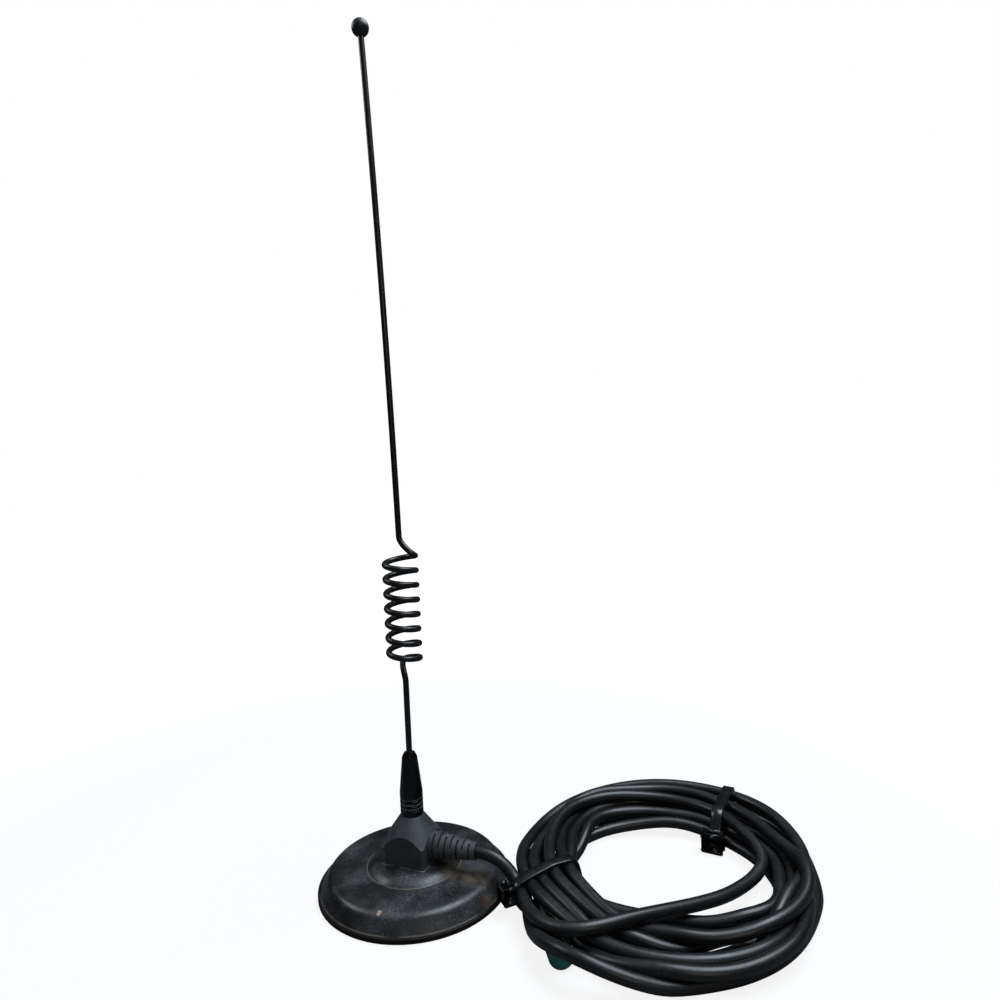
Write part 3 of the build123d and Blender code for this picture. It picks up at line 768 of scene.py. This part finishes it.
    def keep_clear(self, points: np.ndarray, loose: np.ndarray) -> None:
        """Keeps the turns above the ground, in their ties and off the jack, in place.

        Args:
            points: the cable's points.
            loose: 1 for points that may move, 0 for points that stay.
        """
        kept = points.copy()
        kept[:, 2] = np.maximum(kept[:, 2], CABLE_R + self.ground_gap)
        for window in (self.near, self.far):
            middle, out, across, half = window.axes()
            flat = kept[:, :2] - middle
            side, ahead = flat @ out, flat @ across
            near = (np.abs(ahead) < window.reach) & (np.abs(side) < half + window.beyond)
            clear = np.clip(side, CABLE_R - half, half - CABLE_R)
            kept[near, :2] += ((clear - side)[:, None] * out)[near]
            low, high = STRAP_T + CABLE_R, window.top - CABLE_R
            kept[near, 2] = np.clip(kept[near, 2], low, high)
        start = np.array((*self.jack_start, self.jack_z))
        reach = (kept - start) @ self.jack_dir()
        ends, radii = zip(*self.jack_steps)
        girth = np.select([reach < end for end in (-self.stub, *ends)], [0.0, *radii], 0.0)
        off = kept - start - np.clip(reach, -self.stub, ends[-1])[:, None] * self.jack_dir()
        distance = np.linalg.norm(off, axis=1)
        short = np.maximum(girth + CABLE_R + self.jack_room - distance, 0.0) * (girth > 0)
        lift = off / np.maximum(distance, 1e-6)[:, None]
        lift[:, 2] = np.maximum(lift[:, 2], self.jack_rise)
        kept += unit(lift) * (self.jack_push * short)[:, None]
        points += (kept - points) * loose[:, None]

    def points(self) -> np.ndarray:
        """Control points of the whole cable in millimetres, with no two turns overlapping."""
        wound, shows = self.wound_guide()
        lead, end = np.array(self.lead), self.end_points()
        guide = np.vstack((lead, wound, end))
        seen = np.concatenate((np.ones(len(lead), bool), shows, np.zeros(len(end), bool)))
        loose = np.ones(len(guide))
        loose[: len(lead)] = 0.0
        loose[-len(end):] = 0.0
        points = guide.copy()
        sight = unit(guide - np.array(EYE))
        for k in range(self.rounds):
            ease = max(1.0 - k / self.rounds, self.least_ease)
            pull = guide - points
            along = (pull * sight).sum(1)[:, None] * sight
            to_sight = self.seen_pull[0] * (pull - along) + self.seen_pull[1] * along
            held = np.where(seen[:, None], to_sight, self.hidden_pull * pull)
            points += held * loose[:, None] * ease
            bend = points[:-4] - 4 * points[1:-3] + 6 * points[2:-2] - 4 * points[3:-1] + points[4:]
            points[2:-2] -= self.stiffness * bend * loose[2:-2, None]
            self.part_turns(points, loose)
            self.keep_clear(points, loose)
        return points

    def line(self, cable: Piece) -> np.ndarray:
        """Points along the finished cable's middle, in millimetres, as Blender draws it."""
        bare = cable.data.copy()
        bare.bevel_depth = 0.0
        shown = bpy.data.objects.new("cable_line", bare)
        mesh = bpy.data.meshes.new_from_object(shown)
        line = np.empty(3 * len(mesh.vertices))
        mesh.vertices.foreach_get("co", line)
        bpy.data.objects.remove(shown)
        bpy.data.curves.remove(bare)
        bpy.data.meshes.remove(mesh)
        return line.reshape(-1, 3) / MM

    def build(self, finishes: Finishes) -> Piece:
        """Builds the cable as one smooth curve.

        Args:
            finishes: where the jacket's material comes from.

        Returns:
            The curve object.
        """
        data = bpy.data.curves.new("cable", "CURVE")
        data.dimensions = "3D"
        data.resolution_u = 4
        data.bevel_depth = CABLE_R * MM
        data.bevel_resolution = 6
        data.use_fill_caps = True
        spline = data.splines.new("NURBS")
        points = self.points() * MM
        spline.points.add(len(points) - 1)
        spline.points.foreach_set("co", np.column_stack((points, np.ones(len(points)))).ravel())
        spline.order_u = 3
        spline.use_endpoint_u = True
        data.materials.append(finishes.get(finishes.jacket))
        cable = bpy.data.objects.new("cable", data)
        bpy.context.scene.collection.objects.link(cable)
        place_piece(cable, Body.ROOT, "cable", "cable_lead", "cable_coil", "cable_end")
        return cable


def smooth_between(at: np.ndarray, values: np.ndarray, where: np.ndarray) -> np.ndarray:
    """Smooth curve through values, flatter where they turn back.

    Args:
        at: rising places of the values.
        values: the values there.
        where: places at which the curve is read.

    Returns:
        The curve's values.
    """
    steps = np.diff(at)
    slopes = np.diff(values) / steps
    mean = (slopes[:-1] + slopes[1:]) / 2
    inner = np.where(slopes[:-1] * slopes[1:] > 0, mean, mean / 2)
    tangent = np.concatenate(([slopes[0]], inner, [slopes[-1]]))
    k = np.clip(np.searchsorted(at, where, side="right") - 1, 0, len(steps) - 1)
    t = (where - at[k]) / steps[k]
    h = steps[k]
    return (
        (2 * t**3 - 3 * t**2 + 1) * values[k]
        + (t**3 - 2 * t**2 + t) * h * tangent[k]
        + (3 * t**2 - 2 * t**3) * values[k + 1]
        + (t**3 - t**2) * h * tangent[k + 1]
    )


def new_recipe(name: str, inputs: dict) -> tuple[Graph, dict]:
    """Starts a Geometry Nodes tree with named inputs.

    Args:
        name: the tree's name.
        inputs: a value of each input's kind by input name: float, int, vector or material.

    Returns:
        The tree's graph and its input sockets by name.
    """
    tree = bpy.data.node_groups.new(name, "GeometryNodeTree")
    kinds = {float: "NodeSocketFloat", int: "NodeSocketInt", tuple: "NodeSocketVector"}
    for key, value in inputs.items():
        kind = kinds.get(type(value), "NodeSocketMaterial")
        tree.interface.new_socket(name=key, in_out="INPUT", socket_type=kind)
    tree.interface.new_socket(name="Geometry", in_out="OUTPUT", socket_type="NodeSocketGeometry")
    graph = Graph(tree)
    start = graph.add("NodeGroupInput")
    return graph, {socket.name: socket for socket in start.outputs if socket.name}


def grow(graph: Graph, name: str, inputs: dict) -> Piece:
    """Runs a Geometry Nodes tree and keeps its mesh.

    Args:
        graph: the finished tree's graph.
        name: the piece's name.
        inputs: a value for each of the tree's inputs by name.

    Returns:
        The object with the mesh and without the modifier.
    """
    piece = bpy.data.objects.new(name, bpy.data.meshes.new(name))
    bpy.context.scene.collection.objects.link(piece)
    modifier = piece.modifiers.new("recipe", "NODES")
    modifier.node_group = graph.tree
    for item in graph.tree.interface.items_tree:
        if item.in_out == "INPUT":
            modifier[item.identifier] = inputs[item.name]
    grown = piece.evaluated_get(bpy.context.evaluated_depsgraph_get())
    mesh = bpy.data.meshes.new_from_object(grown)
    piece.modifiers.remove(modifier)
    piece.data = mesh
    mesh.name = name
    return piece


@dataclass(frozen=True)
class Whip:
    """The whip: a straight foot, a bend out, the wound phasing coil, a bend in and a long bow.

    Heights are millimetres above the ground, angles are degrees round the mast.
    """

    wire_r: float = 1.25
    foot_z: float = 40.2
    lower_bend_z: float = 85.5
    coil_r: float = 6.35
    coil_pitch: float = 6.1
    coil_turns: float = 7.25
    coil_top_z: float = 138.4
    coil_top_angle: float = 22.0
    upper_bend_z: float = 146.5
    top_z: float = 349.4
    lean_angle: float = 201.6
    lean_deg: float = 0.75
    bow_r: float = 7300.0

    def bow_point(self, rise: float, out: float) -> Vector:
        """Point at a height above the upper bend and a distance out of the mast's line."""
        turn = math.radians(self.lean_angle)
        return Vector((out * math.cos(turn), out * math.sin(turn), self.upper_bend_z + rise))

    def coil_point(self, angle: float, z: float, dz: float) -> tuple[Vector, Vector]:
        """Point of the winding at an angle in degrees, and the unit tangent there."""
        turn = math.radians(angle)
        point = Vector((self.coil_r * math.cos(turn), self.coil_r * math.sin(turn), z))
        run = Vector((self.coil_r * math.sin(turn), -self.coil_r * math.cos(turn), dz))
        return point, run.normalized()

    def bend(self, start: Vector, leave: Vector, end: Vector, arrive: Vector) -> list[Vector]:
        """Four control points of a bend between two directions."""
        third = (end - start).length / 3
        return [start, start + leave * third, end - arrive * third, end]

    def run(self, graph: Graph, given: dict, kind: str, sockets: dict, **settings: object) -> Socket:
        """Adds one run of the wire.

        Args:
            graph: the tree's graph.
            given: the tree's inputs by name.
            kind: end of the curve node's class name.
            sockets: name of the tree's input by the node's input.
            settings: properties of the node.

        Returns:
            The run's curve.
        """
        inputs = {key: given[name] for key, name in sockets.items()}
        return graph.add(f"GeometryNodeCurve{kind}", inputs, **settings).outputs["Curve"]

    def recipe(self, inputs: dict) -> Graph:
        """Geometry Nodes tree: the wire's runs joined end to end and swept with its round section."""
        graph, given = new_recipe("whip_wire", inputs)
        runs = [self.run(graph, given, "PrimitiveLine", {"Start": "Foot Start", "End": "Lower 1"})]
        for bend in ("Lower", "Upper"):
            sockets = {"Resolution": "Bend Steps"}
            for k, key in enumerate(("Start", "Start Handle", "End Handle", "End")):
                sockets[key] = f"{bend} {k + 1}"
            runs.append(self.run(graph, given, "PrimitiveBezierSegment", sockets, mode="POSITION"))
        sockets = {"Resolution": "Steps a Turn", "Rotations": "Turns", "Height": "Coil Height"}
        sockets |= {f"{end} Radius": "Coil Radius" for end in ("Start", "End")}
        placed = {"Geometry": self.run(graph, given, "Spiral", sockets)}
        placed |= {"Translation": given["Coil Place"], "Rotation": given["Coil Rotation"]}
        runs.append(graph.add("GeometryNodeTransform", placed).outputs["Geometry"])
        sockets = {"Resolution": "Bow Steps", "Start": "Upper 4", "Middle": "Bow Middle", "End": "Bow End"}
        runs.append(self.run(graph, given, "QuadraticBezier", sockets))
        join = graph.add("GeometryNodeJoinGeometry")
        for run in runs:
            line = graph.add("GeometryNodeCurveToMesh", {"Curve": run})
            graph.tree.links.new(line.outputs["Mesh"], join.inputs["Geometry"])
        joined = {"Geometry": join.outputs["Geometry"], "Distance": given["Merge"]}
        merged = graph.add("GeometryNodeMergeByDistance", joined).outputs["Geometry"]
        wire = graph.add("GeometryNodeMeshToCurve", {"Mesh": merged}).outputs["Curve"]
        section = self.run(graph, given, "PrimitiveCircle", {"Resolution": "Sides", "Radius": "Wire Radius"})
        swept = {"Curve": wire, "Profile Curve": section, "Fill Caps": True}
        shape = graph.add("GeometryNodeCurveToMesh", swept).outputs["Mesh"]
        for kind in ("SetShadeSmooth", "RealizeInstances"):
            shape = graph.add(f"GeometryNode{kind}", {"Geometry": shape}).outputs["Geometry"]
        dressed = graph.add("GeometryNodeSetMaterial", {"Geometry": shape, "Material": given["Material"]})
        graph.add("NodeGroupOutput", {"Geometry": dressed.outputs["Geometry"]})
        return graph

    def build(self, finishes: Finishes) -> Piece:
        """Builds the wire.

        Args:
            finishes: where the wire's material comes from.

        Returns:
            The whip.
        """
        height = self.coil_turns * self.coil_pitch
        bottom_z = self.coil_top_z - height
        bottom_angle = self.coil_top_angle + 360 * self.coil_turns
        climb = self.coil_pitch / (2 * math.pi)
        coil_start, coil_leave = self.coil_point(bottom_angle, bottom_z, climb)
        coil_end, coil_arrive = self.coil_point(self.coil_top_angle, self.coil_top_z, climb)
        slope = math.tan(math.radians(self.lean_deg))
        bow_start = self.bow_point(0.0, 0.0)
        up = Vector((0.0, 0.0, 1.0))
        lean = (self.bow_point(1.0, slope) - bow_start).normalized()
        lower = self.bend(Vector((0.0, 0.0, self.lower_bend_z)), up, coil_start, coil_leave)
        upper = self.bend(coil_end, coil_arrive, bow_start, lean)
        rise = self.top_z - self.upper_bend_z
        inputs = {
            "Wire Radius": self.wire_r * MM,
            "Coil Radius": self.coil_r * MM,
            "Coil Height": height * MM,
            "Turns": self.coil_turns,
            "Merge": 0.01 * MM,
            "Foot Start": tuple(up * self.foot_z * MM),
            "Coil Place": (0.0, 0.0, bottom_z * MM),
            "Coil Rotation": (0.0, 0.0, math.radians(bottom_angle % 360)),
            "Bow Middle": tuple(self.bow_point(rise / 2, slope * rise / 2) * MM),
            "Bow End": tuple(self.bow_point(rise, slope * rise + rise**2 / (2 * self.bow_r)) * MM),
            "Bend Steps": 16,
            "Steps a Turn": 64,
            "Bow Steps": 24,
            "Sides": 24,
            "Material": finishes.get(finishes.wire),
        }
        for name, points in (("Lower", lower), ("Upper", upper)):
            for k, point in enumerate(points):
                inputs[f"{name} {k + 1}"] = tuple(point * MM)
        whip = grow(self.recipe(inputs), "whip_wire", inputs)
        place_piece(whip, Body.MAST, "whip", "whip")
        return whip


@dataclass(frozen=True)
class CableTie:
    """A nylon tie: a strap drawn tight round the turns in its plane, its head and its cut tail."""

    name: str
    window: Window
    outward: bool
    head_z: float
    node: str
    head: Triple
    head_round: float = 1.0
    sink: float = 0.0
    tail: float = 1.6
    tail_inset: float = 0.6
    tail_trim: float = 0.4
    slot_rim: float = 0.75
    slot_depth: float = 1.2
    slack: float = 0.12
    edge: float = 0.22
    spacing: float = 0.7
    head_span: float = 3.0  # half the height over which the head meets the strap

    def sections(self, cable: np.ndarray) -> np.ndarray:
        """Where turns pass through the strap.

        Args:
            cable: points along the cable in millimetres.

        Returns:
            Rim points of the turns' sections: distance out and height.
        """
        middle, out, across, half = self.window.axes()
        flat = cable[:, :2] - middle
        side, ahead = flat @ out, flat @ across
        rim = np.radians(np.arange(0, 360, 10))
        found = []
        for level in (-STRAP_W / 2, 0.0, STRAP_W / 2):
            off = ahead - level
            for i in np.flatnonzero(off[:-1] * off[1:] < 0):
                t = off[i] / (off[i] - off[i + 1])
                at = side[i] + t * (side[i + 1] - side[i])
                z = cable[i, 2] + t * (cable[i + 1, 2] - cable[i, 2])
                if abs(at) > half + self.window.beyond:
                    continue
                run = unit(cable[i + 1] - cable[i])
                stretch = 1 / max(abs(float(run[:2] @ across)), 0.7)
                girth = CABLE_R + self.slack
                found.append(np.column_stack((at + girth * stretch * np.cos(rim), z + girth * np.sin(rim))))
        return np.vstack(found)

    def hull(self, points: np.ndarray) -> np.ndarray:
        """Corners of the tightest loop round flat points, counter-clockwise."""
        ordered = sorted(map(tuple, points))
        sides = []
        for row in (ordered, ordered[::-1]):
            side: list = []
            for point in row:
                while len(side) > 1 and (side[-1][0] - side[-2][0]) * (point[1] - side[-2][1]) <= (
                    side[-1][1] - side[-2][1]
                ) * (point[0] - side[-2][0]):
                    side.pop()
                side.append(point)
            sides += side[:-1]
        return np.array(sides)

    def loop(self, cable: np.ndarray) -> tuple[np.ndarray, np.ndarray]:
        """Evenly spaced points of the strap's inner face and their outward normals."""
        corners = self.hull(self.sections(cable))
        corners[:, 1] = np.maximum(corners[:, 1], STRAP_T)
        closed = np.vstack((corners, corners[:1]))
        along = np.concatenate(([0.0], np.cumsum(np.linalg.norm(np.diff(closed, axis=0), axis=1))))
        at = np.linspace(0, along[-1], int(along[-1] / self.spacing), endpoint=False)
        loop = np.column_stack([np.interp(at, along, closed[:, k]) for k in (0, 1)])
        for _ in range(3):
            loop = 0.5 * loop + 0.25 * (np.roll(loop, 1, axis=0) + np.roll(loop, -1, axis=0))
        run = unit(np.roll(loop, -1, axis=0) - np.roll(loop, 1, axis=0))
        return loop, np.column_stack((run[:, 1], -run[:, 0]))

    def place(self, out: float, along: float, z: float) -> Vector:
        """Point in metres from its distance out, along the cable and its height in millimetres."""
        middle, side, across, _ = self.window.axes()
        flat = middle + out * side + along * across
        return Vector((flat[0], flat[1], z)) * MM

    def add_strap(self, mesh: bmesh.types.BMesh, cable: np.ndarray) -> float:
        """Adds the strap and says how far out its head side reaches.

        Args:
            mesh: the tie's bmesh.
            cable: points along the cable in millimetres.

        Returns:
            Distance out of the strap's outer face at the head's height.
        """
        loop, normals = self.loop(cable)
        w, e = STRAP_W / 2, self.edge
        lower = ((0, -w + e), (e, -w), (STRAP_T - e, -w), (STRAP_T, -w + e))
        profile = (*lower, *((out, -along) for out, along in lower[::-1]))
        rings = []
        for p, n in zip(loop, normals):
            places = [self.place(p[0] + n[0] * o, along, max(p[1] + n[1] * o, 0.0)) for o, along in profile]
            rings.append([mesh.verts.new(place) for place in places])
        count = len(profile)
        for ring, after in zip(rings, rings[1:] + rings[:1]):
            for k in range(count):
                mesh.faces.new((ring[k], ring[(k + 1) % count], after[(k + 1) % count], after[k]))
        sign = 1 if self.outward else -1
        level = np.abs(loop[:, 1] - self.head_z) < self.head_span
        return float((sign * loop[level, 0]).max()) + STRAP_T

    def add_block(self, mesh: bmesh.types.BMesh, at: tuple, size: tuple, corner: float, steps: int) -> list:
        """Adds a block with rounded edges.

        Args:
            mesh: the tie's bmesh.
            at: its middle: distance out, along the cable and height.
            size: its sides in the same order.
            corner: the edges' radius.
            steps: segments of each rounded edge.

        Returns:
            The block's faces.
        """
        corners = bmesh.ops.create_cube(mesh, size=1.0)["verts"]
        for vert in corners:
            out, along, z = (a + s * c for a, s, c in zip(at, size, vert.co))
            vert.co = self.place(out, along, z)
        edges = list({edge for vert in corners for edge in vert.link_edges})
        rounding = {"offset": corner * MM, "segments": steps, "profile": 0.5, "affect": "EDGES"}
        made = bmesh.ops.bevel(mesh, geom=edges, **rounding)
        return list({face for vert in made["verts"] for face in vert.link_faces})

    def sink_slot(self, mesh: bmesh.types.BMesh, faces: list) -> None:
        """Sinks the strap's slot into the head's top face."""
        top = max(faces, key=lambda face: (round(face.normal.z, 2), face.calc_area()))
        bmesh.ops.inset_individual(mesh, faces=[top], thickness=self.slot_rim * MM)
        well = bmesh.ops.extrude_discrete_faces(mesh, faces=[top])["faces"][0]
        bmesh.ops.translate(mesh, verts=well.verts, vec=(0, 0, -self.slot_depth * MM))

    def build(self, finishes: Finishes, cable: np.ndarray) -> Piece:
        """Builds the tie round the relaxed cable.

        Args:
            finishes: where the nylon's material comes from.
            cable: points along the cable in millimetres.

        Returns:
            The tie.
        """
        mesh = bmesh.new()
        reach = self.add_strap(mesh, cable)
        sign = 1 if self.outward else -1
        out = sign * (reach - self.sink + self.head[0] / 2)
        faces = self.add_block(mesh, (out, 0.0, self.head_z), self.head, self.head_round, 4)
        mesh.normal_update()
        self.sink_slot(mesh, faces)
        tail_z = self.head_z + self.head[2] / 2
        size = (STRAP_T, STRAP_W - self.tail_trim, 2 * self.tail)
        self.add_block(mesh, (out - sign * self.tail_inset, 0.0, tail_z), size, 0.2, 1)
        tie = finish_mesh(mesh, self.name, finishes.get(finishes.nylon))
        place_piece(tie, Body.ROOT, "tie", self.node)
        return tie


@dataclass(frozen=True)
class Lamp:
    """A soft rectangular lamp; its place, aim and sides are in metres."""

    name: str
    place: Triple
    aim: Triple
    sides: tuple[float, float]
    watts: float
    colour: Triple

    def build(self) -> None:
        """Hangs the lamp so that it faces its aim."""
        data = bpy.data.lights.new(self.name, "AREA")
        data.shape = "RECTANGLE"
        data.size, data.size_y = self.sides
        data.energy = self.watts
        data.color = self.colour
        lamp = bpy.data.objects.new(self.name, data)
        lamp.location = self.place
        way = Vector(self.aim) - Vector(self.place)
        lamp.rotation_euler = way.to_track_quat("-Z", "Y").to_euler()
        bpy.context.scene.collection.objects.link(lamp)


@dataclass(frozen=True)
class Studio:
    """Camera, lights, white floor and white surroundings.

    The camera's angles are in degrees; the rest is in metres, or a strength or share of white.
    """

    focal: float = 25.38
    sensor: float = 36.0
    yaw: float = 21.65
    pitch: float = 87.07
    roll: float = -2.362
    near_clip: float = 0.01
    lamps: tuple[Lamp, ...] = (
        Lamp("sky", (0.42, 0.14, 1.05), (0.06, 0.0, 0.0), (0.85, 0.6), 13.0, (0.8, 0.9, 1.0)),
        Lamp("left", (-0.75, -0.1, 0.8), (0.06, 0.0, 0.0), (0.5, 0.3), 2.0, (0.85, 0.93, 1.0)),
        Lamp("front", (0.75, -0.9, 0.5), (0.06, 0.0, 0.05), (0.3, 0.3), 0.8, (1.0, 0.95, 0.88)),
    )
    fill: float = 0.18
    fill_colour: Triple = (0.78, 0.88, 1.0)
    walls: float = 0.02
    ceiling: float = 0.3
    ceiling_from: tuple[float, float] = (0.35, 0.95)
    floor_half: float = 3.0
    floor_grey: float = 0.12
    floor_roughness: float = 0.9
    floor_glow: float = 0.86
    floor_gain: float = 0.2
    floor_fade: tuple[float, float] = (0.2, 0.5)

    def camera(self) -> None:
        """Puts the camera where the photograph was taken from."""
        data = bpy.data.cameras.new("camera")
        data.sensor_width = self.sensor
        data.lens = self.focal
        data.clip_start = self.near_clip
        camera = bpy.data.objects.new("camera", data)
        turn = Matrix()
        for angle, about in ((self.yaw, "Z"), (self.pitch, "X"), (self.roll, "Z")):
            turn = turn @ Matrix.Rotation(math.radians(angle), 4, about)
        camera.matrix_world = Matrix.Translation(Vector(EYE) * MM) @ turn
        bpy.context.scene.collection.objects.link(camera)
        bpy.context.scene.camera = camera

    def white(self, graph: Graph, kind: str, strength: object) -> Socket:
        """White light of a strength from a Background or Emission node."""
        return graph.add(f"ShaderNode{kind}", {"Color": (1, 1, 1, 1), "Strength": strength}).outputs[0]

    def clear(self, graph: Graph) -> Socket:
        """Mask of the rays that see plain white: the camera's, straight or through glass."""
        path = graph.add("ShaderNodeLightPath").outputs
        return graph.math("MAXIMUM", path["Is Camera Ray"], path["Is Transmission Ray"])

    def surroundings(self) -> None:
        """World: a bluish fill light, and in reflections dark walls under a soft ceiling."""
        world = bpy.data.worlds.new("surroundings")
        world.use_nodes = True
        bpy.context.scene.world = world
        graph = Graph(world.node_tree)
        fill = world.node_tree.nodes["Background"]
        fill.inputs["Color"].default_value = (*self.fill_colour, 1.0)
        fill.inputs["Strength"].default_value = self.fill
        clear = self.clear(graph)
        direct = graph.blend(clear, fill.outputs[0], self.white(graph, "Background", 1.0))
        up = graph.axis(graph.add("ShaderNodeTexCoord").outputs["Generated"], "Z")
        glow = graph.math("ADD", graph.times(graph.band(up, *self.ceiling_from), self.ceiling), self.walls)
        room = self.white(graph, "Background", graph.math("MAXIMUM", clear, glow))
        glossy = graph.add("ShaderNodeLightPath").outputs["Is Glossy Ray"]
        seen = graph.blend(glossy, direct, room)
        graph.feed(world.node_tree.nodes["World Output"].inputs["Surface"], seen)

    def floor(self) -> None:
        """Pale floor that keeps a faint shadow near the antenna and is white far away."""
        mesh = bmesh.new()
        bmesh.ops.create_grid(mesh, x_segments=1, y_segments=1, size=self.floor_half)
        made = bpy.data.materials.new("floor_white")
        made.use_nodes = True
        graph = Graph(made.node_tree)
        surface = made.node_tree.nodes["Principled BSDF"]
        surface.inputs["Base Color"].default_value = (*(self.floor_grey,) * 3, 1.0)
        surface.inputs["Roughness"].default_value = self.floor_roughness
        surface.inputs["Specular IOR Level"].default_value = 0.0
        far = graph.vector("LENGTH", graph.add("ShaderNodeTexCoord").outputs["Object"])["Value"]
        gain = graph.times(graph.band(far, *self.floor_fade), self.floor_gain)
        white = self.white(graph, "Emission", graph.math("ADD", gain, self.floor_glow))
        lit = graph.add("ShaderNodeAddShader", {0: surface.outputs[0], 1: white}).outputs[0]
        seen = graph.blend(self.clear(graph), surface.outputs[0], lit)
        graph.feed(made.node_tree.nodes["Material Output"].inputs["Surface"], seen)
        floor = finish_mesh(mesh, "floor", made)

    def build(self) -> None:
        """Builds the whole studio."""
        bpy.context.scene.view_settings.view_transform = "Standard"
        self.camera()
        self.surroundings()
        for lamp in self.lamps:
            lamp.build()
        self.floor()


def main() -> None:
    """Builds the antenna and reports each piece."""
    logging.basicConfig(level=logging.INFO, format="%(name)s: %(message)s", stream=sys.stdout)
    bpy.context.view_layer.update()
    Studio().build()
    finishes = Finishes()
    finishes.dress_frame()
    bundle = CableBundle()
    cable = bundle.build(finishes)
    line = bundle.line(cable)
    ties = (
        CableTie("near_tie_nylon", bundle.near, True, 8.5, "near_tie", (4.0, 5.6, 5.0), sink=0.8),
        CableTie("far_tie_nylon", bundle.far, False, 4.3, "far_tie", (4.2, 6.0, 5.6), 1.7),
    )
    near, far = (tie.build(finishes, line) for tie in ties)
    Whip().build(finishes)


if __name__ == "__main__":
    main()
